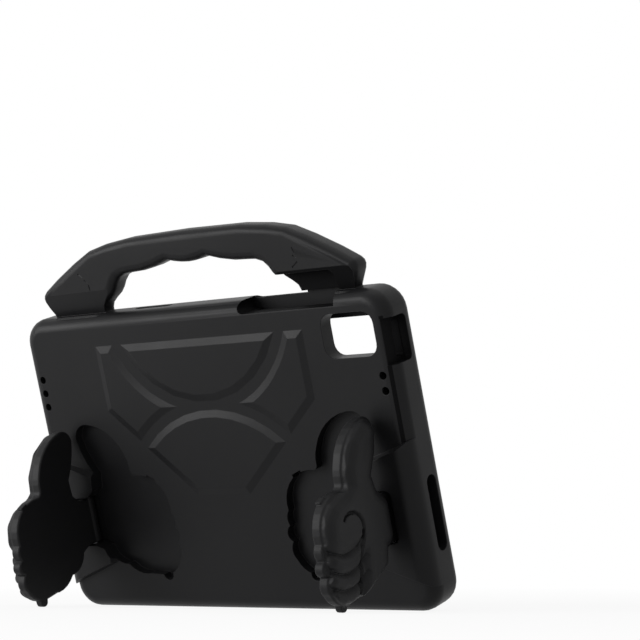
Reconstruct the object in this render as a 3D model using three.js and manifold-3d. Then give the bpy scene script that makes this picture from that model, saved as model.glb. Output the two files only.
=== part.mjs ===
// Tablet case for children: a foam case with a carry handle and two thumb-shaped
// stands that fold out of its back. Millimetres, +Z up, back of the case towards -Y.
// The case is drawn flat first: X to the right seen from the back, Y up along
// the case, Z out of its back with the back face at Z = 0. Then it is leaned.
import * as THREE from "three";
import Module from "manifold-3d";

const wasm = await Module();
wasm.setup();

// ---- sizes that the rest follows from
const lean = THREE.MathUtils.degToRad(17.86);
const openAngle = THREE.MathUtils.degToRad(89);
const tablet = { length: 247.6, width: 157.4, thick: 7.0, corner: 8, gap: 0.4 };
const wall = { end: 10.8, top: 11.9, foot: 12.5, back: 10.0, front: 7.4 };
const edge = { back: 8, front: 6, corner: 15 };
const lip = { thick: 1.8, cover: 5.0, slope: 6.8, corner: 5 };

const pocket = {
  length: tablet.length + 2 * tablet.gap,
  width: tablet.width + 2 * tablet.gap,
  depth: tablet.thick + 1.5 * tablet.gap,
};
const end = pocket.length / 2 + wall.end;
const top = wall.foot + pocket.width + wall.top;
const middle = wall.foot + pocket.width / 2;
const pocketFront = -(wall.back + pocket.depth);
const pocketCentre = -(wall.back + pocket.depth / 2);
const front = pocketFront - wall.front;

const handle = {
  back: -4, front: -20, round: 5, foot: end - 23, overhang: 6.6, cornerRise: 14.2, rise: 43.5,
  legWidth: 40.4, footBack: -9,
};
const opening = { half: handle.foot - handle.legWidth };
const grip = {
  thick: 18.6, crest: 0.205 * opening.half, crestRise: 2.3, end: 0.48 * opening.half, endDrop: 2.1,
};
opening.height = handle.rise - grip.thick;
const panel = { rise: 1.3, bevel: 4.3, gap: 6.1 };
const hinge = { x: end - 23, z: -2.6, radius: 4.0, low: 42.4, high: 70.8, play: 0.8 };
const pin = { radius: 1.5, low: hinge.low - 8, high: hinge.high + 8, play: 0.1 };
const recess = { depth: 6, floorPlay: 0.6, wellEnd: hinge.x + 5.7, wellCorner: 3.5 };
const stand = { gap: 0.8, swing: 1.2, under: 0.3, slab: 6.3, round: 0.7, crown: 6.0 };
const foot = { out: 56.5, radius: 3.0, thick: 4.2 };
const tab = { out: 56.6, y: 80.1, length: 5.0, height: 4.0, thick: 3.6, tilt: 0.4 };

// ---- helpers: outlines are lists of [x, y], anticlockwise seen from +Z
const flat = (x, y, z) => [x, y, z];
const alongY = (x, z, y) => [x, -y, z];
const alongX = (y, z, x) => [x, y, z];
const sameSide = (outline) => outline;
const mirrored = (outline) => outline.map(([x, y]) => [-x, y]).reverse();
const bothSides = [sameSide, mirrored];

function solid(vertices, triangles) {
  return new wasm.Manifold(new wasm.Mesh({
    numProp: 3,
    vertProperties: new Float32Array(vertices.flat()),
    triVerts: new Uint32Array(triangles.flat()),
  }));
}

function cap(ring) {
  return THREE.ShapeUtils.triangulateShape(ring.map(([x, y]) => new THREE.Vector2(x, y)), []);
}

// rings: [[outline, height], ...] from low to high, all with the same point count
function stack(rings, place = flat) {
  const count = rings[0][0].length;
  const vertices = rings.flatMap(([ring, height]) => ring.map(([x, y]) => place(x, y, height)));
  const triangles = [];
  for (let level = 0; level < rings.length - 1; level += 1) {
    for (let i = 0; i < count; i += 1) {
      const a = level * count + i;
      const b = level * count + (i + 1) % count;
      triangles.push([a, b, b + count], [a, b + count, a + count]);
    }
  }
  const last = (rings.length - 1) * count;
  cap(rings[0][0]).forEach(([a, b, c]) => triangles.push([c, b, a]));
  cap(rings[rings.length - 1][0]).forEach(([a, b, c]) => {
    triangles.push([last + a, last + b, last + c]);
  });
  return solid(vertices, triangles);
}

const prism = (outline, low, high, place = flat) => stack([[outline, low], [outline, high]], place);

function circle(x, y, radius, count) {
  return Array.from({ length: count }, (_, i) => {
    const turn = 2 * Math.PI * i / count;
    return [x + radius * Math.cos(turn), y + radius * Math.sin(turn)];
  });
}

// points of the arc from a through b to c, without c
function arc(a, b, c, step = 0.22) {
  const [ax, ay] = a;
  const [bx, by] = [b[0] - ax, b[1] - ay];
  const [cx, cy] = [c[0] - ax, c[1] - ay];
  const d = 2 * (bx * cy - by * cx);
  const ux = (cy * (bx * bx + by * by) - by * (cx * cx + cy * cy)) / d;
  const uy = (bx * (cx * cx + cy * cy) - cx * (bx * bx + by * by)) / d;
  const radius = Math.hypot(ux, uy);
  const from = Math.atan2(-uy, -ux);
  let sweep = Math.atan2(cy - uy, cx - ux) - from;
  if (d > 0 && sweep < 0) sweep += 2 * Math.PI;
  if (d < 0 && sweep > 0) sweep -= 2 * Math.PI;
  const count = Math.max(2, Math.ceil(Math.abs(sweep) / step));
  return Array.from({ length: count }, (_, i) => {
    const turn = from + sweep * i / count;
    return [ax + ux + radius * Math.cos(turn), ay + uy + radius * Math.sin(turn)];
  });
}

// outline moved outwards by d (inwards if negative); corners sharper than 0.35 rad become
// fans of points when fan is set, so that they come out round
function grow(outline, d, fan = 0) {
  const count = outline.length;
  const normals = outline.map(([x, y], i) => {
    const [nx, ny] = outline[(i + 1) % count];
    const length = Math.hypot(nx - x, ny - y);
    return [(ny - y) / length, -(nx - x) / length];
  });
  return outline.flatMap(([x, y], i) => {
    const before = normals[(i + count - 1) % count];
    const after = normals[i];
    const turn = Math.atan2(before[0] * after[1] - before[1] * after[0],
      before[0] * after[0] + before[1] * after[1]);
    if (fan && turn > 0.35) {
      const start = Math.atan2(before[1], before[0]);
      return Array.from({ length: fan + 1 }, (_, k) => {
        const angle = start + turn * k / fan;
        return [x + d * Math.cos(angle), y + d * Math.sin(angle)];
      });
    }
    const scale = d / (1 + Math.cos(turn));
    return [[x + scale * (before[0] + after[0]), y + scale * (before[1] + after[1])]];
  });
}

// a moulded block: its corners are rounded by plan, its lower and upper edges by their own radii
function moulded(outline, low, high, { plan, lowRound, highRound, steps, fan }) {
  const core = grow(outline, -plan);
  const rings = [];
  for (let k = 0; k <= steps; k += 1) {
    const turn = Math.PI / 2 * k / steps;
    const inset = lowRound * (1 - Math.sin(turn));
    rings.push([grow(core, plan - inset, fan), low + lowRound * (1 - Math.cos(turn))]);
  }
  for (let k = steps; k >= 0; k -= 1) {
    const turn = Math.PI / 2 * k / steps;
    const inset = highRound * (1 - Math.sin(turn));
    rings.push([grow(core, plan - inset, fan), high - highRound * (1 - Math.cos(turn))]);
  }
  return stack(rings);
}

// a crowned pad: over the width roll its edge curves up to the full height in a quarter ellipse
function pad(ringAt, low, base, height, roll, steps) {
  const rings = [[ringAt(0), low]];
  for (let k = 0; k <= steps; k += 1) {
    const turn = Math.PI / 2 * k / steps;
    rings.push([ringAt(roll * (1 - Math.cos(turn))), base + height * Math.sin(turn)]);
  }
  return stack(rings);
}

// outline of a strip along a path of [x, y, half its width], widened to its right and left
function strip(path, right = 0, left = 0) {
  const sides = path.map(([x, y, half], i) => {
    const [ax, ay] = path[Math.max(i - 1, 0)];
    const [bx, by] = path[Math.min(i + 1, path.length - 1)];
    const length = Math.hypot(bx - ax, by - ay);
    const [nx, ny] = [(by - ay) / length, (ax - bx) / length];
    return [[x + (half + right) * nx, y + (half + right) * ny],
      [x - (half + left) * nx, y - (half + left) * ny]];
  });
  return [...sides.map(([rightSide]) => rightSide), ...sides.map(([, leftSide]) => leftSide).reverse()];
}

function roundedRing(outline, plan, fan) {
  const core = grow(outline, -plan);
  return (inset) => grow(core, plan - inset, fan);
}

const block = (x0, x1, y0, y1) => [[x0, y0], [x1, y0], [x1, y1], [x0, y1]];

const roundBlock = (x0, x1, y0, y1, radius, fan = 4) =>
  roundedRing(block(x0, x1, y0, y1), radius, fan)(0);

// ---- raised panels: each edge tells how far inside a line or a circle a point lies
const leftOf = (a, b) => {
  const length = Math.hypot(b[0] - a[0], b[1] - a[1]);
  const normal = [(a[1] - b[1]) / length, (b[0] - a[0]) / length];
  return { distance: (p) => [(p[0] - a[0]) * normal[0] + (p[1] - a[1]) * normal[1], normal] };
};

const curve = (centre, radius, sign) => ({
  centre,
  distance: (p) => {
    const away = [p[0] - centre[0], p[1] - centre[1]];
    const length = Math.hypot(...away);
    return [sign * (radius - length), [-sign * away[0] / length, -sign * away[1] / length]];
  },
});

// the point near guess that lies d inside both edges
function meet(first, second, guess, d) {
  let point = guess;
  for (let i = 0; i < 12; i += 1) {
    const [f, [fx, fy]] = first.distance(point);
    const [g, [gx, gy]] = second.distance(point);
    const det = fx * gy - fy * gx;
    point = [
      point[0] - ((f - d) * gy - (g - d) * fy) / det,
      point[1] - ((g - d) * fx - (f - d) * gx) / det,
    ];
  }
  return point;
}

const arcParts = 9;

function panelRing(edges, corners, d) {
  const count = edges.length;
  const met = corners.map((corner, i) => meet(edges[(i + count - 1) % count], edges[i], corner, d));
  return edges.flatMap(({ centre }, i) => {
    const from = met[i];
    const to = met[(i + 1) % count];
    if (!centre) return [from];
    const start = Math.atan2(from[1] - centre[1], from[0] - centre[0]);
    const turned = Math.atan2(to[1] - centre[1], to[0] - centre[0]) - start;
    const sweep = Math.atan2(Math.sin(turned), Math.cos(turned));
    const radius = Math.hypot(from[0] - centre[0], from[1] - centre[1]);
    return Array.from({ length: arcParts }, (_, k) => {
      const turn = start + sweep * k / arcParts;
      return [centre[0] + radius * Math.cos(turn), centre[1] + radius * Math.sin(turn)];
    });
  });
}

function raisedPanel(edges, corners, side = sameSide) {
  const base = side(panelRing(edges, corners, 0));
  const face = side(panelRing(edges, corners, panel.bevel));
  return stack([[base, -1], [base, 0], [face, panel.rise]]);
}

const bowl = { half: 57.6, top: middle + 72.4, deep: 37.4 };
bowl.radius = (bowl.half ** 2 + bowl.deep ** 2) / (2 * bowl.deep);
bowl.centre = [0, bowl.top - bowl.deep + bowl.radius];
const dome = { half: 51.8, top: bowl.top - bowl.deep - 4.8, rise: 21.1, leg: 29.8, footHalf: 18.9 };
dome.radius = (dome.half ** 2 + dome.rise ** 2) / (2 * dome.rise);
dome.centre = [0, dome.top - dome.radius];
dome.shoulder = dome.top - dome.rise;
dome.foot = dome.shoulder - dome.leg;
const flank = { width: 12.6, drop: 39.6, toe: 4.4 };
flank.outer = bowl.half + panel.gap + 1.1 + flank.width;
flank.toeY = dome.shoulder + 4.5;

const bowlCorners = [[bowl.half, bowl.top], [-bowl.half, bowl.top]];
const bowlEdges = [leftOf(...bowlCorners), curve(bowl.centre, bowl.radius, 1)];
const domeCorners = [[dome.half, dome.shoulder], [-dome.half, dome.shoulder],
  [-dome.footHalf, dome.foot], [dome.footHalf, dome.foot]];
const domeEdges = [curve(dome.centre, dome.radius, 1), leftOf(domeCorners[1], domeCorners[2]),
  leftOf(domeCorners[2], domeCorners[3]), leftOf(domeCorners[3], domeCorners[0])];
const flankCorners = [
  [bowl.half + panel.gap, bowl.top],
  [0.38 * bowl.half, (bowl.top - bowl.deep + dome.top) / 2],
  [dome.half + flank.toe, flank.toeY],
  [flank.outer, bowl.top - flank.drop],
  [flank.outer, bowl.top],
];
const flankEdges = [
  curve(bowl.centre, bowl.radius + panel.gap, -1),
  curve(dome.centre, dome.radius + panel.gap, -1),
  leftOf(flankCorners[2], flankCorners[3]),
  leftOf(flankCorners[3], flankCorners[4]),
  leftOf(flankCorners[4], flankCorners[0]),
];

// ---- outline of the thumb-up hand: [distance from the hinge axis towards the middle, height]
const at = ([out, y]) => [hinge.x - out, y];
const through = (...points) => arc(...points.map(at));
const fist = [
  ...through([14.3, 85.3], [8.2, 96.1], [4.8, 107.6]),
  ...through([4.8, 107.6], [7.5, 113.9], [15, 116.4]),
  ...through([15, 116.4], [29.8, 110.6], [40.1, 96.7]),
  ...through([40.1, 96.7], [41.8, 91.6], [42.1, 86.6]),
  ...through([42.1, 86.6], [42.8, 84.8], [44.8, 83.8]),
  ...through([44.8, 83.8], [61.8, 78.4], [67.9, 60.6]),
  ...through([67.9, 60.6], [69.8, 56.1], [68.8, 51.6]),
  ...through([68.8, 51.6], [71.6, 46.9], [68.6, 42.2]),
  ...through([68.6, 42.2], [70.4, 37], [68.3, 31.6]),
  ...through([68.3, 31.6], [62, 24.4], [51.5, 22.3]),
  at([43.5, 23.2]),
  ...through([42, 22.8], [34.4, 24.2], [27.6, 29]),
  ...through([27.6, 29], [17.8, 32.6], [13.3, 42.5]),
];
const wellLow = hinge.low - hinge.play;
const wellHigh = hinge.high + hinge.play;
const wellRound = roundBlock(hinge.x - 8, recess.wellEnd, wellLow, wellHigh, recess.wellCorner, 4);
const wellOutline = [at([8, wellLow]), ...wellRound.slice(5, 15), at([8, wellHigh])];
const recessOutline = [...fist, ...wellOutline, at([13, 76.1])];
const towardsHinge = (outline) => outline.map(([x, y]) => [x + stand.swing, y]);

// height of the case's lowest line above the corner where bottom and back would meet
const restHeight = edge.back * (Math.cos(lean) + Math.sin(lean) - 1);
const footOut = hinge.z + foot.out * Math.sin(openAngle)
  + (stand.under + foot.thick / 2 - recess.depth - hinge.z) * Math.cos(openAngle);
const footY = (restHeight + footOut * Math.sin(lean) + foot.radius) / Math.cos(lean);

// small catch on the fist's shoulder, with room round it in the recess
function tabOutline(room) {
  const half = tab.length / 2 + room;
  const rise = tab.height / 2 + room;
  const [cx, cy] = at([tab.out, tab.y]);
  return block(-half, half, -rise, rise).map(([a, b]) => [
    cx + a * Math.cos(tab.tilt) - b * Math.sin(tab.tilt),
    cy + a * Math.sin(tab.tilt) + b * Math.cos(tab.tilt),
  ]);
}

// ---- the case: body and handle
let shell = moulded(block(-end, end, 0, top), front, 0,
  { plan: edge.corner, lowRound: edge.front, highRound: edge.back, steps: 5, fan: 7 });

const ridge = top + opening.height;
const gripEnd = [grip.end, ridge - grip.endDrop];
const gripCrest = [grip.crest, ridge + grip.crestRise];
const between = [(grip.end + grip.crest) / 2, (gripEnd[1] + gripCrest[1]) / 2 - 0.5];
const halfGrip = [
  ...arc([0, ridge], [0.5 * grip.crest, ridge + 0.27 * grip.crestRise], gripCrest, 0.1),
  ...arc(gripCrest, between, gripEnd, 0.1),
  gripEnd,
];
const gripLine = [...halfGrip.slice().reverse(), ...halfGrip.slice(1).map(([x, y]) => [-x, y])];
const outerLeg = [
  [handle.foot - 2, top - 10],
  [handle.foot, top + 1],
  [handle.foot + handle.overhang, top + handle.cornerRise],
  ...[[8.5, 0.536], [24.6, 0.733], [38, 0.874], [52, 0.94], [70, 0.982]].map(([back, share]) => [
    handle.foot - back, top + handle.rise * share,
  ]),
];
const innerLeg = [
  [opening.half + 0.4, top - 10],
  ...[[0.1, 0.06], [1.4, 0.177], [4.8, 0.289], [9.4, 0.41], [12.2, 0.538], [14.3, 0.675],
    [17.6, 0.811], [22.6, 0.884], [28.6, 0.9]].map(([back, share]) => [
    opening.half - back, top + opening.height * share,
  ]),
];
const handleOutline = [
  ...outerLeg,
  [0, top + handle.rise],
  ...mirrored(outerLeg),
  ...innerLeg.map(([x, y]) => [-x, y]),
  ...gripLine.map(([x, y]) => [-x, y]),
  ...innerLeg.slice().reverse(),
];
shell = shell.add(moulded(handleOutline, handle.front, handle.back,
  { plan: handle.round + 0.4, lowRound: handle.round, highRound: handle.round, steps: 4, fan: 3 }));

// each leg thins towards its foot, from a crease across its back
const crease = top + handle.cornerRise;
const taper = [[top, handle.back + 3], [top, handle.footBack], [crease, handle.back],
  [crease, handle.back + 3]];
for (const side of [1, -1]) {
  const span = [side * (opening.half - 22), side * (handle.foot + 12)].sort((a, b) => a - b);
  shell = shell.subtract(prism(taper, ...span, alongX));
}

// hinge housings: low trapezoid bosses that run round the ends of the case
const boss = {
  inner: hinge.x - 17, rise: 4, draft: 1.6, low: 29.6, high: 85.2, slopeLow: 0.36, slopeHigh: 0.33,
  round: edge.back + 2,
};
const bossEnd = end + 1;
const bossBase = [
  [boss.inner, boss.low],
  [bossEnd, boss.low - (bossEnd - boss.inner) * boss.slopeLow],
  [bossEnd, boss.high + (bossEnd - boss.inner) * boss.slopeHigh],
  [boss.inner, boss.high],
];
const bossTurn = boss.round * (1 - Math.SQRT1_2);
const bossProfile = [
  [boss.inner - 1, -9],
  [end, -9],
  ...arc([end, boss.rise - boss.round], [end - bossTurn, boss.rise - bossTurn],
    [end - boss.round, boss.rise]),
  [end - boss.round, boss.rise],
  [boss.inner - 1, boss.rise],
];
for (const side of bothSides) {
  const trapezoid = stack([
    [side(bossBase), -9], [side(bossBase), 0], [side(grow(bossBase, -boss.draft)), boss.rise + 0.01],
  ]);
  shell = shell.add(trapezoid.intersect(prism(side(bossProfile), -boss.high - 30, 0, alongY)));
  shell = shell.add(raisedPanel(flankEdges, flankCorners, side));
}
shell = shell.add(raisedPanel(bowlEdges, bowlCorners));
shell = shell.add(raisedPanel(domeEdges, domeCorners));

const cut = (...tool) => { shell = shell.subtract(prism(...tool)); };

// pocket for the tablet, and the sloping frame round the screen
const pocketOutline = block(-pocket.length / 2, pocket.length / 2,
  wall.foot, wall.foot + pocket.width);
const screen = grow(pocketOutline, -lip.cover);
const [screenEnd, screenTop] = screen[2];
cut(roundedRing(pocketOutline, tablet.corner, 5)(0), pocketFront, -wall.back);
const frame = roundedRing(screen, lip.corner, 4);
const lipBack = pocketFront - lip.thick;
const beyond = (lip.slope / (lipBack - front)) * (lipBack - front + 0.5);
shell = shell.subtract(stack([
  [frame(-beyond), front - 0.5], [frame(0), lipBack], [frame(0), pocketFront + 1],
]));

// notches in the lip: one at an end of the screen, one over the tablet's front camera
const notch = { endHalf: 10, endFlare: 7, endDeep: 8.3, topHalf: 28.5, topFlare: 5, topDeep: 5.2 };
cut([
  [screenEnd - 2, middle - notch.endHalf - notch.endFlare],
  [screenEnd + notch.endDeep, middle - notch.endHalf],
  [screenEnd + notch.endDeep, middle + notch.endHalf],
  [screenEnd - 2, middle + notch.endHalf + notch.endFlare],
], front - 1, pocketFront + 0.5);
cut([
  [-notch.topHalf, screenTop - 2],
  [notch.topHalf, screenTop - 2],
  [notch.topHalf, screenTop + 2],
  [notch.topHalf - notch.topFlare, screenTop + notch.topDeep],
  [notch.topFlare - notch.topHalf, screenTop + notch.topDeep],
  [-notch.topHalf, screenTop + 2],
], front - 1, pocketFront + 0.5);

// camera window, port window round the corner, slot in the end wall, speaker holes
const camera = { fromEnd: 9.8, fromTop: 11.4, length: 34.8, height: 25.1, corner: 7 };
cut(roundBlock(end - camera.fromEnd - camera.length, end - camera.fromEnd,
  top - camera.fromTop - camera.height, top - camera.fromTop, camera.corner, 5), -wall.back - 1, 1);
const port = { fromTop: 16.8, height: 25.5, deep: 5.3, front: -17.5, corner: 3, neck: 2, neckGap: 0.3 };
cut(roundBlock(top - port.fromTop - port.height, top - port.fromTop, port.front, 6, port.corner),
  end - port.deep, end + 5, alongX);
cut(roundBlock(top - port.fromTop - port.height + port.neck, top - port.fromTop - port.neck,
  pocketFront + 2 * port.neckGap, -wall.back - port.neckGap, 2),
end - wall.end - 4, end - port.deep + 2, alongX);
const sideSlot = { low: 32.6, length: 43, width: 8.9 };
cut(roundBlock(sideSlot.low, sideSlot.low + sideSlot.length, pocketCentre - sideSlot.width / 2,
  pocketCentre + sideSlot.width / 2, sideSlot.width / 2 - 0.05, 6), end - wall.end - 3, end + 5, alongX);
const speaker = { fromEnd: 9.4, left: [36.7, 45.2, 53.7], right: [47.6, 56.1], radius: 2.25, deep: 8 };
for (const [x, rows] of [[speaker.fromEnd - end, speaker.left], [end - speaker.fromEnd, speaker.right]]) {
  rows.forEach((down) => cut(circle(x, top - down, speaker.radius, 16), -speaker.deep, 1));
}

// button slot in the back's top edge, with its notch in the handle's leg and its low sill
const slot = {
  left: 33.9, right: handle.foot - 10.7, low: top - 7.2, sill: top - 1.4, notch: top + 12.4, deep: -14,
  round: 4,
};
const slotEnd = (low) => arc([slot.left + slot.round, low + 2 * slot.round],
  [slot.left, low + slot.round], [slot.left + slot.round, low]);
cut([...slotEnd(slot.low), [slot.left + slot.round, slot.low], [slot.right, slot.low],
  [slot.right, slot.low + 2 * slot.round]], pocketFront, 1);
cut([[opening.half - 13, top - 1], [slot.right, top - 1], [slot.right, slot.notch - 2],
  [slot.right - 2, slot.notch], [opening.half - 13, slot.notch]], slot.deep, 1);
cut(block(slot.left + 6, slot.right - 5, top - wall.top - 3, slot.low + 1), pocketFront, -wall.back - 1);
cut([...slotEnd(slot.sill), [slot.left + slot.round, slot.sill], [opening.half + 1.4, slot.sill],
  [opening.half + 1.4, slot.sill + 2 * slot.round]], front - 1, pocketFront + 1);

// thin slot through the top wall
const topSlot = { left: -51.5, right: -24, width: 5.2 };
cut(roundBlock(topSlot.left, topSlot.right, pocketCentre - topSlot.width / 2,
  pocketCentre + topSlot.width / 2, topSlot.width / 2 - 0.1), -top - 3, -(top - wall.top - 3), alongY);

// recesses for the stands, with wells and bores for their hinges
for (const side of bothSides) {
  for (const outline of [recessOutline, towardsHinge(recessOutline), tabOutline(stand.gap),
    circle(...at([foot.out, footY]), foot.radius + stand.gap, 14)]) {
    cut(side(outline), -recess.depth, 8);
  }
  cut(side(wellOutline), hinge.z - hinge.radius - recess.floorPlay, 8);
  cut(side(circle(hinge.x, hinge.z, pin.radius + pin.play, 20)), -pin.high - 0.3, -pin.low + 0.3, alongY);
}

// ---- the thumb stand of the right side, lying closed in its recess
const low = -recess.depth + stand.under;
const slabTop = low + stand.slab;
const slabOutline = [...grow(fist, -stand.gap), at([8.4, hinge.low]), [hinge.x, hinge.low],
  [hinge.x, hinge.high], at([9.2, hinge.high]), at([14.4, 75.6])];
let hand = stack([[-stand.round, low], [0, low + stand.round], [0, slabTop - stand.round],
  [-stand.round, slabTop]].map(([d, height]) => [grow(slabOutline, d), height]));
hand = hand.add(prism(circle(hinge.x, hinge.z, hinge.radius, 24), -hinge.high, -hinge.low, alongY));
hand = hand.add(prism(circle(...at([foot.out, footY]), foot.radius, 14), low, low + foot.thick));
hand = hand.add(prism(tabOutline(0), low, low + tab.thick));

// the rounded outer face: the thumb runs down into the palm and over into the curled index
// finger, and three more fingers lie under it like scales, each round its own core
const sink = slabTop - 1;
const thumbAndPalm = [
  [6, 114.6], [19, 115.4], [32, 108], [40.6, 94.8], [41.6, 85.8], [47, 82.4], [58.3, 79.2],
  [65.8, 72.3], [68, 61], [65.4, 55.3], [61.2, 52.4], [55.6, 50.7], [49.8, 50.3], [44.6, 51],
  [40.9, 47.5], [42.2, 41], [44.6, 31], [49.4, 12.6], [19, 30.4], [15, 42.8], [8.4, 44.8],
  [8.4, 68.6], [16.6, 76.8], [18.4, 84.5], [12, 95],
];
const fingers = [
  { share: 0.84, roll: 5, core: [[41.5, 52.4], [47, 49.3], [52.5, 48.2], [58, 49.2], [62, 51.8],
    [62.6, 50], [58.6, 46.8], [52.3, 45.1], [46, 46.1], [41, 49]] },
  { share: 0.68, roll: 4.6, core: [[43, 40.6], [47.8, 38.5], [52.3, 37.8], [58, 38.8], [63.6, 42],
    [64.2, 40.4], [58.5, 37.1], [52.4, 36.1], [47.4, 36.7], [42.8, 38.6]] },
  { share: 0.52, roll: 4.4, core: [[45.6, 31.4], [52.4, 29.7], [58, 30.6], [62.8, 33.2],
    [63.4, 31.8], [58.6, 29.2], [52.6, 28.3], [46, 29.3]] },
];
let relief = pad(roundedRing(thumbAndPalm.map(at), 8.2, 4), sink, slabTop, stand.crown, 8.1, 5);
for (const { share, roll, core } of fingers) {
  const ringAt = (inset) => grow(core.map(at), roll - inset, 3);
  relief = relief.add(pad(ringAt, sink, slabTop, share * stand.crown, roll - 0.2, 5));
}
const heel = [[68.6, 83.8], [69, 23.3], [44, 23.3], [17, 34.6], [7.6, 44], [7.6, 69.4], [18, 83.8]];
const cover = pad(roundedRing(heel.map(at), 13, 6), sink, slabTop - 0.3, 7.6, 9, 5)
  .add(prism(block(hinge.x - 46, hinge.x + 5, 78, 120), sink, 20));
hand = hand.add(relief.intersect(cover).intersect(prism(grow(slabOutline, -stand.round), sink, 20)));

// the curl of the index finger is a groove, steep on the finger and gentle outside it
const curl = [[53.1, 68.2, 0.1], [51, 70.3, 0.2], [47.4, 71.2, 0.3], [43.3, 70.5, 0.3], [39.8, 68.2, 0.4],
  [37.8, 64.6, 0.4], [37.6, 60.6, 0.4], [39, 56.8, 0.4], [42, 53.8, 0.4], [44.5, 52.4, 0.4]];
const curlPath = curl.map(([out, y, half]) => [...at([out, y]), half]);
const crownTop = slabTop + stand.crown;
hand = hand.subtract(stack([
  [strip(curlPath), crownTop - 2.2], [strip(curlPath, 0.5, 1.6), crownTop + 0.2],
]));
hand = hand.subtract(prism(circle(hinge.x, hinge.z, pin.radius + pin.play, 20),
  -hinge.high - 1, -hinge.low + 1, alongY));

const pinSolid = prism(circle(hinge.x, hinge.z, pin.radius, 20), -pin.high, -pin.low, alongY);

// ---- meshes
const foam = new THREE.MeshStandardMaterial({ color: 0x1d1d1f, roughness: 0.8 });
const steel = new THREE.MeshStandardMaterial({ color: 0x8d9094, roughness: 0.35, metalness: 1 });
const product = new THREE.Group();
product.name = "tablet_case";

// swing turns a piece about the hinge before it is mirrored; then everything leans
function addMesh(name, piece, material, { swing = 0, mirror = false } = {}) {
  const { vertProperties, triVerts } = piece.getMesh();
  const geometry = new THREE.BufferGeometry();
  geometry.setAttribute("position", new THREE.BufferAttribute(new Float32Array(vertProperties), 3));
  const index = Array.from(triVerts);
  if (mirror) index.reverse();
  geometry.setIndex(index);
  const place = new THREE.Matrix4().makeRotationX(Math.PI / 2 + lean);
  if (mirror) place.multiply(new THREE.Matrix4().makeScale(-1, 1, 1));
  if (swing) {
    place.multiply(new THREE.Matrix4().makeTranslation(hinge.x, 0, hinge.z));
    place.multiply(new THREE.Matrix4().makeRotationY(swing));
    place.multiply(new THREE.Matrix4().makeTranslation(-hinge.x, 0, -hinge.z));
  }
  geometry.applyMatrix4(place);
  geometry.computeVertexNormals();
  const mesh = new THREE.Mesh(geometry, material);
  mesh.name = name;
  product.add(mesh);
}

addMesh("case_shell", shell, foam);
addMesh("stand_right", hand, foam, { swing: openAngle });
addMesh("stand_left", hand, foam, { swing: openAngle, mirror: true });
addMesh("hinge_pin_right", pinSolid, steel);
addMesh("hinge_pin_left", pinSolid, steel, { mirror: true });

// the origin goes to the middle of the footprint, on the floor
const bounds = new THREE.Box3().setFromObject(product);
for (const mesh of product.children) {
  mesh.geometry.translate(-(bounds.min.x + bounds.max.x) / 2, -(bounds.min.y + bounds.max.y) / 2,
    -bounds.min.z);
}

export default product;
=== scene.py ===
# Tablet case for children: black foam with a carry handle and two thumb-up stands folded out
# of its back. Metres, +Z up, the back of the case towards -Y, leaning 17.86 degrees.
import math

import bmesh
import bpy
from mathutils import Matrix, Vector


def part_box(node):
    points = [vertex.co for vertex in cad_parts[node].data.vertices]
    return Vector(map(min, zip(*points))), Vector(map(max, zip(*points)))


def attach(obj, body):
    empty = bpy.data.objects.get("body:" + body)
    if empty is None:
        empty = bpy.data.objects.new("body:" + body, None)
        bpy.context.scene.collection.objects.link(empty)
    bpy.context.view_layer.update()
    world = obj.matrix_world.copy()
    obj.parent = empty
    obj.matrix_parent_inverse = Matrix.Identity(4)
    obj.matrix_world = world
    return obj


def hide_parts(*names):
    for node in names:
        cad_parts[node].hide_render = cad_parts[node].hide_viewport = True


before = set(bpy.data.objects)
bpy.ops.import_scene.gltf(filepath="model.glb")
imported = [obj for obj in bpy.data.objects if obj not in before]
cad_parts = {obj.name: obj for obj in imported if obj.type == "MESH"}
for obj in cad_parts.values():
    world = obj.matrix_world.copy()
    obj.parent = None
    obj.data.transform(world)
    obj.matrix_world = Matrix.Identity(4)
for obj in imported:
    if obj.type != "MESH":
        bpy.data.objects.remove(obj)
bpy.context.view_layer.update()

# ---- case: tray, screen frame, back wall and handle in one piece of closed-cell foam.
# It is pressed in a polished mould, so its faces are smooth with a fine grain, its edges are
# slightly rounded and short strokes are pressed into both faces of the handle.
LEAN = math.radians(17.86)
EDGE_ROUND, EDGE_STEPS = 0.00024, 2
SMOOTH_BELOW = math.radians(40)
FOAM_BLACK = (0.0052, 0.0052, 0.0056, 1)
# darker black painted as shade inside the tray, the button slot and the port window
PAINTED_SHADE_BLACK = (0.0030, 0.0030, 0.0032, 1)
GRAIN_SCALE, GRAIN_DEPTH, GRAIN_PALER = 2600.0, 0.00012, 1.5
PATCH_SCALE, PATCH_DULLER = 24.0, 0.08
# corners this close are one corner, and neighbouring faces turned this little are one face
SAME_CORNER, SAME_FACE = 0.00015, math.radians(1.0)


def select_only(*objects):
    bpy.ops.object.select_all(action="DESELECT")
    for each in objects:
        each.select_set(True)
    bpy.context.view_layer.objects.active = objects[0]


def merged_copy(node, name):
    piece = bpy.data.objects.new(name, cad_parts[node].data.copy())
    bpy.context.collection.objects.link(piece)
    piece.data.name = name
    piece.data.materials.clear()
    select_only(piece)
    bpy.ops.object.mode_set(mode="EDIT")
    bpy.ops.mesh.select_all(action="SELECT")
    bpy.ops.mesh.remove_doubles(threshold=SAME_CORNER)
    bpy.ops.mesh.dissolve_limited(angle_limit=SAME_FACE)
    bpy.ops.object.mode_set(mode="OBJECT")
    return piece


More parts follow.
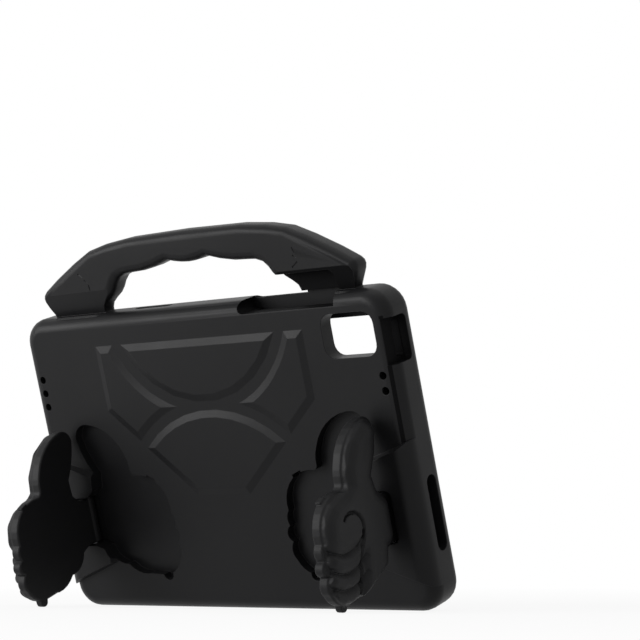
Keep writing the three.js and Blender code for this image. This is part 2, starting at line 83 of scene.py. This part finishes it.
def foam_material(name, sheen, roughness, black):
    material = bpy.data.materials.new(name)
    material.use_nodes = True
    nodes, links = material.node_tree.nodes, material.node_tree.links
    shader = nodes["Principled BSDF"]
    shader.inputs["Specular IOR Level"].default_value = sheen
    place = nodes.new("ShaderNodeTexCoord")
    # faint cloudy patches, where the skin of the foam is a little duller
    patches = nodes.new("ShaderNodeTexNoise")
    patches.inputs["Scale"].default_value = PATCH_SCALE
    patches.inputs["Detail"].default_value = 3.0
    links.new(place.outputs["Object"], patches.inputs["Vector"])
    dull = nodes.new("ShaderNodeMapRange")
    dull.inputs["From Min"].default_value = 0.3
    dull.inputs["From Max"].default_value = 0.7
    dull.inputs["To Min"].default_value = roughness
    dull.inputs["To Max"].default_value = roughness + PATCH_DULLER
    links.new(patches.outputs["Fac"], dull.inputs["Value"])
    links.new(dull.outputs["Result"], shader.inputs["Roughness"])
    # fine pebbled grain, a little paler on its tips
    tint = nodes.new("ShaderNodeValToRGB")
    tint.color_ramp.elements[0].position = 0.3
    tint.color_ramp.elements[0].color = black
    tint.color_ramp.elements[1].position = 0.75
    tint.color_ramp.elements[1].color = tuple(GRAIN_PALER * part for part in black[:3]) + (1,)
    grain = nodes.new("ShaderNodeTexNoise")
    grain.inputs["Scale"].default_value = GRAIN_SCALE
    grain.inputs["Detail"].default_value = 2.0
    grain.inputs["Roughness"].default_value = 0.6
    links.new(place.outputs["Object"], grain.inputs["Vector"])
    links.new(grain.outputs["Fac"], tint.inputs["Fac"])
    links.new(tint.outputs["Color"], shader.inputs["Base Color"])
    bump = nodes.new("ShaderNodeBump")
    bump.inputs["Strength"].default_value = 0.35
    bump.inputs["Distance"].default_value = GRAIN_DEPTH
    links.new(grain.outputs["Fac"], bump.inputs["Height"])
    links.new(bump.outputs["Normal"], shader.inputs["Normal"])
    return material


case_foam = foam_material("case_foam", sheen=0.13, roughness=0.38, black=FOAM_BLACK)
# painted shade: a darker, duller copy of the case foam for the recesses of the case
painted_shade_foam = foam_material("painted_shade_foam", sheen=0.03, roughness=0.60, black=PAINTED_SHADE_BLACK)

# the right hinge pin lies 56.6 mm up the case and 2.6 mm under its back face
PIN_UP, PIN_OUT = 0.0566, -0.0026
pin_low, pin_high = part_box("hinge_pin_right")
pin_x, pin_y, pin_z = [(pin_low[axis] + pin_high[axis]) / 2 for axis in range(3)]


# the point at a distance across the case, up it and out of its back, and the other way round
def on_case(x, up, out):
    up, out = up - PIN_UP, out - PIN_OUT
    return Vector((x, pin_y - up * math.sin(LEAN) - out * math.cos(LEAN),
                   pin_z + up * math.cos(LEAN) - out * math.sin(LEAN)))


def off_case(point):
    y, z = point.y - pin_y, point.z - pin_z
    return (point.x, PIN_UP - y * math.sin(LEAN) + z * math.cos(LEAN),
            PIN_OUT - y * math.cos(LEAN) - z * math.sin(LEAN))


# edges sharper than SHARP are rounded, and so are the shallower ones of the raised panels and
# the fold across each leg of the handle; the facets of the moulded roundings are not
SHARP, SHALLOW = math.radians(30), math.radians(10)
PANEL_OUT = (-0.0001, 0.0014)
FOLD_UP, FOLD_OUT, FOLD_NEAR = 0.1968, -0.0040, 0.0002


def is_rounded(edge):
    if len(edge.link_faces) != 2:
        return False
    angle = edge.calc_face_angle()
    if angle < SHALLOW:
        return False
    ends = [off_case(vertex.co) for vertex in edge.verts]
    on_panel = all(PANEL_OUT[0] < out < PANEL_OUT[1] for _, _, out in ends)
    on_fold = all(abs(up - FOLD_UP) < FOLD_NEAR and abs(out - FOLD_OUT) < FOLD_NEAR
                  for _, up, out in ends)
    return angle > SHARP or on_panel or on_fold


case = merged_copy("case_shell", "foam_case")
bpy.ops.object.mode_set(mode="EDIT")
bpy.ops.mesh.select_mode(type="EDGE")
bpy.ops.mesh.select_all(action="DESELECT")
shape = bmesh.from_edit_mesh(case.data)
for edge in shape.edges:
    edge.select_set(is_rounded(edge))
bmesh.update_edit_mesh(case.data)
bpy.ops.mesh.bevel(offset=EDGE_ROUND, segments=EDGE_STEPS, affect="EDGES", clamp_overlap=False)
bpy.ops.object.mode_set(mode="OBJECT")

# middle of each stroke across and up the case, its length in metres and its turn in degrees;
# the same strokes are in the back and the front face of the handle
STROKES = [
    (-0.0819, 0.2067, 0.0040, -38), (-0.0782, 0.2029, 0.0032, -45), (-0.0763, 0.1991, 0.0036, -80),
    (0.0784, 0.2080, 0.0034, -67), (0.0786, 0.2042, 0.0030, -38), (0.0779, 0.1998, 0.0052, 35),
]
STROKE_WIDE, STROKE_DEEP = 0.0009, 0.0005
HANDLE_FACES = (-0.004, -0.020)

cutters = []
for face in HANDLE_FACES:
    for x, up, length, turn in STROKES:
        bpy.ops.mesh.primitive_cube_add(size=1, location=on_case(x, up, face))
        cutter = bpy.context.object
        cutter.rotation_mode = "ZYX"
        cutter.rotation_euler = (math.pi / 2 + LEAN, 0, math.radians(turn))
        cutter.scale = (length, STROKE_WIDE, 2 * STROKE_DEEP)
        cutters.append(cutter)
select_only(*cutters)
bpy.ops.object.transform_apply(location=True, rotation=True, scale=True)
bpy.ops.object.join()
strokes = bpy.context.object
select_only(case)
pressed = case.modifiers.new("handle strokes", "BOOLEAN")
pressed.operation = "DIFFERENCE"
pressed.solver = "EXACT"
pressed.object = strokes
bpy.ops.object.modifier_apply(modifier=pressed.name)
bpy.data.objects.remove(strokes, do_unlink=True)

bpy.ops.object.shade_smooth_by_angle(angle=SMOOTH_BELOW)
flats = case.modifiers.new("flat faces", "WEIGHTED_NORMAL")
flats.weight = 50
flats.keep_sharp = True
bpy.ops.object.modifier_apply(modifier=flats.name)
case.data.materials.append(case_foam)
case.data.materials.append(painted_shade_foam)

# the insides of the tray, the button slot and the port window get painted shade: a darker,
# duller copy of the same foam stands in for the shade in these recesses. Limits across the case,
# up it and out of its back
PAINTED_SHADE_INSIDES = [
    ((-0.1244, 0.1244), (0.0124, 0.1709), (-0.0172, -0.00995)),
    ((0.0337, 0.1015), (0.1752, 0.1952), (-0.0250, -0.0050)),
    ((0.1243, 0.1346), (0.1398, 0.1663), (-0.0178, -0.0008)),
]


def is_inside(place, limits):
    return all(low < part < high for part, (low, high) in zip(place, limits))


# faces inside these recesses take the painted shade material
for face in case.data.polygons:
    if any(is_inside(off_case(face.center), limits) for limits in PAINTED_SHADE_INSIDES):
        face.material_index = 1
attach(case, "case")
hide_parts("case_shell")

# ---- thumb stands: two solid foam hands with a flat underside, a rounded outer face and
# creases pressed in below the curled fingers. Each is moulded in one piece and turns on a pin
# between two walls of the case.
stand_foam = foam_material("stand_foam", sheen=0.16, roughness=0.50, black=FOAM_BLACK)

# turn of each stand from flat in its recess to folded out
OPEN = math.radians(89)
# skin of the foam: its finest detail, and how often its edges and the fingers are evened
SKIN_DETAIL, EDGES_EVENED, FINGERS_EVENED = 0.0004, 3, 24
# the curled fingers: from the hinge, up the case, and higher than this on the folded hand
FINGERS_OUT, FINGERS_UP, FINGERS_HEIGHT = (0.0405, 0.0700), (0.0250, 0.0590), 0.0034
# creases below the curled fingers and beside the palm, each pressed in on its outer side
# only: start, middle and end, as (distance from the hinge, distance up the case) in metres
CREASES = [
    ((0.0420, 0.0548), (0.0528, 0.0516), (0.0672, 0.0580)),
    ((0.0418, 0.0440), (0.0526, 0.0411), (0.0674, 0.0470)),
    ((0.0440, 0.0348), (0.0527, 0.0325), (0.0668, 0.0369)),
    ((0.0385, 0.0530), (0.0412, 0.0432), (0.0446, 0.0262)),
]
CREASE_HALF, CREASE_DEEP, CREASE_REACH = 0.0004, 0.0016, 0.0034
# no crease reaches lower on the folded hand than this
CREASE_LOWEST = 0.0016


# a point of an open stand as distances from its hinge, up the case and out of the case's back,
# with the stand turned back into its recess
def on_hand(point, hand):
    x, up, out = off_case(point)
    across, away = hand * x - pin_x, out - PIN_OUT
    return (away * math.sin(OPEN) - across * math.cos(OPEN), up,
            PIN_OUT + across * math.sin(OPEN) + away * math.cos(OPEN))


# centre and radius of the round line of a crease
def circle_through(a, b, c):
    a, b, c = [Vector(point) for point in (a, b, c)]
    turn = 2 * (a.x * (b.y - c.y) + b.x * (c.y - a.y) + c.x * (a.y - b.y))
    x = (a.dot(a) * (b.y - c.y) + b.dot(b) * (c.y - a.y) + c.dot(c) * (a.y - b.y)) / turn
    y = (a.dot(a) * (c.x - b.x) + b.dot(b) * (a.x - c.x) + c.dot(c) * (b.x - a.x)) / turn
    centre = Vector((x, y))
    return centre, (a - centre).length


def even_fingers(stand, hand):
    bpy.ops.mesh.select_all(action="DESELECT")
    shape = bmesh.from_edit_mesh(stand.data)
    for vertex in shape.verts:
        out, up, height = on_hand(vertex.co, hand)
        vertex.select_set(FINGERS_OUT[0] < out < FINGERS_OUT[1] and height > FINGERS_HEIGHT
                          and FINGERS_UP[0] < up < FINGERS_UP[1])
    shape.select_flush_mode()
    bmesh.update_edit_mesh(stand.data)
    bpy.ops.mesh.vertices_smooth(factor=0.5, repeat=FINGERS_EVENED)


def press_crease(stand, hand, start, middle, end):
    centre, radius = circle_through(start, middle, end)
    towards = (Vector(middle) - centre).normalized()
    widest = min((Vector(point) - centre).normalized().dot(towards) for point in (start, end))
    shape = bmesh.from_edit_mesh(stand.data)
    places = []
    for vertex in shape.verts:
        out, up, height = on_hand(vertex.co, hand)
        away = Vector((out, up)) - centre
        outside = away.length - radius
        places.append((outside, height, away.normalized().dot(towards)))
    # the finger above the crease is hidden, so that it keeps its shape
    bpy.ops.mesh.select_all(action="DESELECT")
    for vertex, (outside, height, turn) in zip(shape.verts, places):
        vertex.select_set(outside < 0 or height < CREASE_LOWEST or turn < widest)
    shape.select_flush_mode()
    bpy.ops.mesh.hide(unselected=False)
    for vertex, (outside, height, turn) in zip(shape.verts, places):
        if not vertex.hide:
            vertex.select_set(outside < CREASE_HALF)
    shape.select_flush_mode()
    bmesh.update_edit_mesh(stand.data)
    inwards = Vector((-hand * math.sin(OPEN), math.cos(OPEN) * math.cos(LEAN),
                      math.cos(OPEN) * math.sin(LEAN)))
    bpy.ops.transform.translate(
        value=CREASE_DEEP * inwards, use_proportional_edit=True,
        proportional_edit_falloff="SMOOTH", proportional_size=CREASE_REACH)
    bpy.ops.mesh.reveal(select=False)


for side, hand in (("right", 1), ("left", -1)):
    stand = merged_copy(f"stand_{side}", f"foam_stand_{side}")
    skin = stand.modifiers.new("even skin", "REMESH")
    skin.mode = "VOXEL"
    skin.voxel_size = SKIN_DETAIL
    bpy.ops.object.modifier_apply(modifier=skin.name)
    soften = stand.modifiers.new("soft edges", "SMOOTH")
    soften.factor = 0.5
    soften.iterations = EDGES_EVENED
    bpy.ops.object.modifier_apply(modifier=soften.name)
    bpy.ops.object.mode_set(mode="EDIT")
    bpy.ops.mesh.select_mode(type="VERT")
    even_fingers(stand, hand)
    for crease in CREASES:
        press_crease(stand, hand, *crease)
    bpy.ops.mesh.select_all(action="SELECT")
    bpy.ops.mesh.vertices_smooth(factor=0.5, repeat=1)
    bpy.ops.object.mode_set(mode="OBJECT")
    bpy.ops.object.shade_smooth()
    stand.data.materials.append(stand_foam)
    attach(stand, f"thumb_stand_{side}")
    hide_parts(f"stand_{side}")

# ---- hinge pins: two straight steel wires pressed into the housings, cut to length and
# left bright, with fine drawing lines along them.
pin_steel = bpy.data.materials.new("pin_steel")
pin_steel.use_nodes = True
nodes, links = pin_steel.node_tree.nodes, pin_steel.node_tree.links
shader = nodes["Principled BSDF"]
shader.inputs["Metallic"].default_value = 1.0
place = nodes.new("ShaderNodeTexCoord")
stretch = nodes.new("ShaderNodeMapping")
stretch.inputs["Rotation"].default_value = (LEAN, 0, 0)
stretch.inputs["Scale"].default_value = (1.0, 1.0, 0.02)
links.new(place.outputs["Object"], stretch.inputs["Vector"])
drawn = nodes.new("ShaderNodeTexNoise")
drawn.inputs["Scale"].default_value = 3000.0
links.new(stretch.outputs["Vector"], drawn.inputs["Vector"])
shine = nodes.new("ShaderNodeMapRange")
shine.inputs["To Min"].default_value = 0.22
shine.inputs["To Max"].default_value = 0.42
links.new(drawn.outputs["Fac"], shine.inputs["Value"])
links.new(shine.outputs["Result"], shader.inputs["Roughness"])
tone = nodes.new("ShaderNodeValToRGB")
tone.color_ramp.elements[0].color = (0.44, 0.45, 0.47, 1)
tone.color_ramp.elements[1].color = (0.62, 0.63, 0.65, 1)
links.new(drawn.outputs["Fac"], tone.inputs["Fac"])
links.new(tone.outputs["Color"], shader.inputs["Base Color"])
for side in ("right", "left"):
    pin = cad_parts[f"hinge_pin_{side}"]
    pin.data.materials.clear()
    pin.data.materials.append(pin_steel)

# ---- studio: a pale floor under the case, a white surround, soft lamps and the camera.
# The floor keeps a light shadow near the case and turns white further out, so that it has
# no visible end; the surround is white to the camera and in reflections.
FLOOR_SIZE = 8.0
SHADOW_NEAR, SHADOW_FAR = 0.25, 0.9


# 1 where the camera, a reflection or a clear piece sees the surface, and 0 for its light
def seen_directly(nodes, links):
    path = nodes.new("ShaderNodeLightPath")
    first = nodes.new("ShaderNodeMath")
    first.operation = "ADD"
    links.new(path.outputs["Is Camera Ray"], first.inputs[0])
    links.new(path.outputs["Is Glossy Ray"], first.inputs[1])
    either = nodes.new("ShaderNodeMath")
    either.operation = "ADD"
    either.use_clamp = True
    links.new(first.outputs[0], either.inputs[0])
    links.new(path.outputs["Is Transmission Ray"], either.inputs[1])
    return either.outputs[0]


bpy.ops.object.select_all(action="DESELECT")
bpy.ops.mesh.primitive_plane_add(size=FLOOR_SIZE, location=(0, 0, 0))
floor = bpy.context.object
floor.name = "floor"
pale = bpy.data.materials.new("pale_floor")
pale.use_nodes = True
nodes, links = pale.node_tree.nodes, pale.node_tree.links
shader = nodes["Principled BSDF"]
shader.inputs["Base Color"].default_value = (0.82, 0.82, 0.82, 1)
shader.inputs["Roughness"].default_value = 0.9
glow = nodes.new("ShaderNodeEmission")
glow.inputs["Color"].default_value = (1, 1, 1, 1)
glow.inputs["Strength"].default_value = 1.0
place = nodes.new("ShaderNodeTexCoord")
reach = nodes.new("ShaderNodeVectorMath")
reach.operation = "LENGTH"
links.new(place.outputs["Object"], reach.inputs[0])
fade = nodes.new("ShaderNodeMapRange")
fade.inputs["From Min"].default_value = SHADOW_NEAR
fade.inputs["From Max"].default_value = SHADOW_FAR
fade.inputs["To Min"].default_value = 0.88
fade.inputs["To Max"].default_value = 1.0
links.new(reach.outputs["Value"], fade.inputs["Value"])
share = nodes.new("ShaderNodeMath")
share.operation = "MULTIPLY"
links.new(fade.outputs["Result"], share.inputs[1])
links.new(seen_directly(nodes, links), share.inputs[0])
blend = nodes.new("ShaderNodeMixShader")
links.new(share.outputs[0], blend.inputs["Fac"])
links.new(shader.outputs["BSDF"], blend.inputs[1])
links.new(glow.outputs["Emission"], blend.inputs[2])
links.new(blend.outputs["Shader"], nodes["Material Output"].inputs["Surface"])
floor.data.materials.append(pale)

world = bpy.data.worlds.new("surround")
bpy.context.scene.world = world
world.use_nodes = True
nodes, links = world.node_tree.nodes, world.node_tree.links
soft = nodes["Background"]
soft.inputs["Color"].default_value = (1, 1, 1, 1)
soft.inputs["Strength"].default_value = 0.45
white = nodes.new("ShaderNodeBackground")
white.inputs["Color"].default_value = (1, 1, 1, 1)
white.inputs["Strength"].default_value = 1.0
blend = nodes.new("ShaderNodeMixShader")
links.new(seen_directly(nodes, links), blend.inputs["Fac"])
links.new(soft.outputs["Background"], blend.inputs[1])
links.new(white.outputs["Background"], blend.inputs[2])
links.new(blend.outputs["Shader"], nodes["World Output"].inputs["Surface"])


def soft_lamp(name, place, aim, size, power):
    lamp = bpy.data.lights.new(name, "AREA")
    lamp.shape = "RECTANGLE"
    lamp.size, lamp.size_y = size
    lamp.energy = power
    holder = bpy.data.objects.new(name, lamp)
    bpy.context.collection.objects.link(holder)
    holder.location = place
    holder.rotation_euler = (Vector(aim) - Vector(place)).to_track_quat("-Z", "Y").to_euler()


soft_lamp("front_left_softbox", place=(-1.1, -1.5, 0.5), aim=(0, 0, 0.12), size=(1.5, 1.0),
          power=34)
soft_lamp("overhead_softbox", place=(0.1, -0.3, 1.6), aim=(0, 0, 0.1), size=(1.4, 1.4), power=5)

camera_data = bpy.data.cameras.new("camera")
camera_data.sensor_width = 36.0
camera_data.lens = 114.41
camera_data.clip_end = 30.0
camera = bpy.data.objects.new("camera", camera_data)
bpy.context.collection.objects.link(camera)
camera.location = (0.75177, -0.90761, 0.02856)
camera.rotation_euler = (math.radians(96.691), 0, math.radians(36.719))
bpy.context.scene.camera = camera
bpy.context.scene.view_settings.view_transform = "Standard"
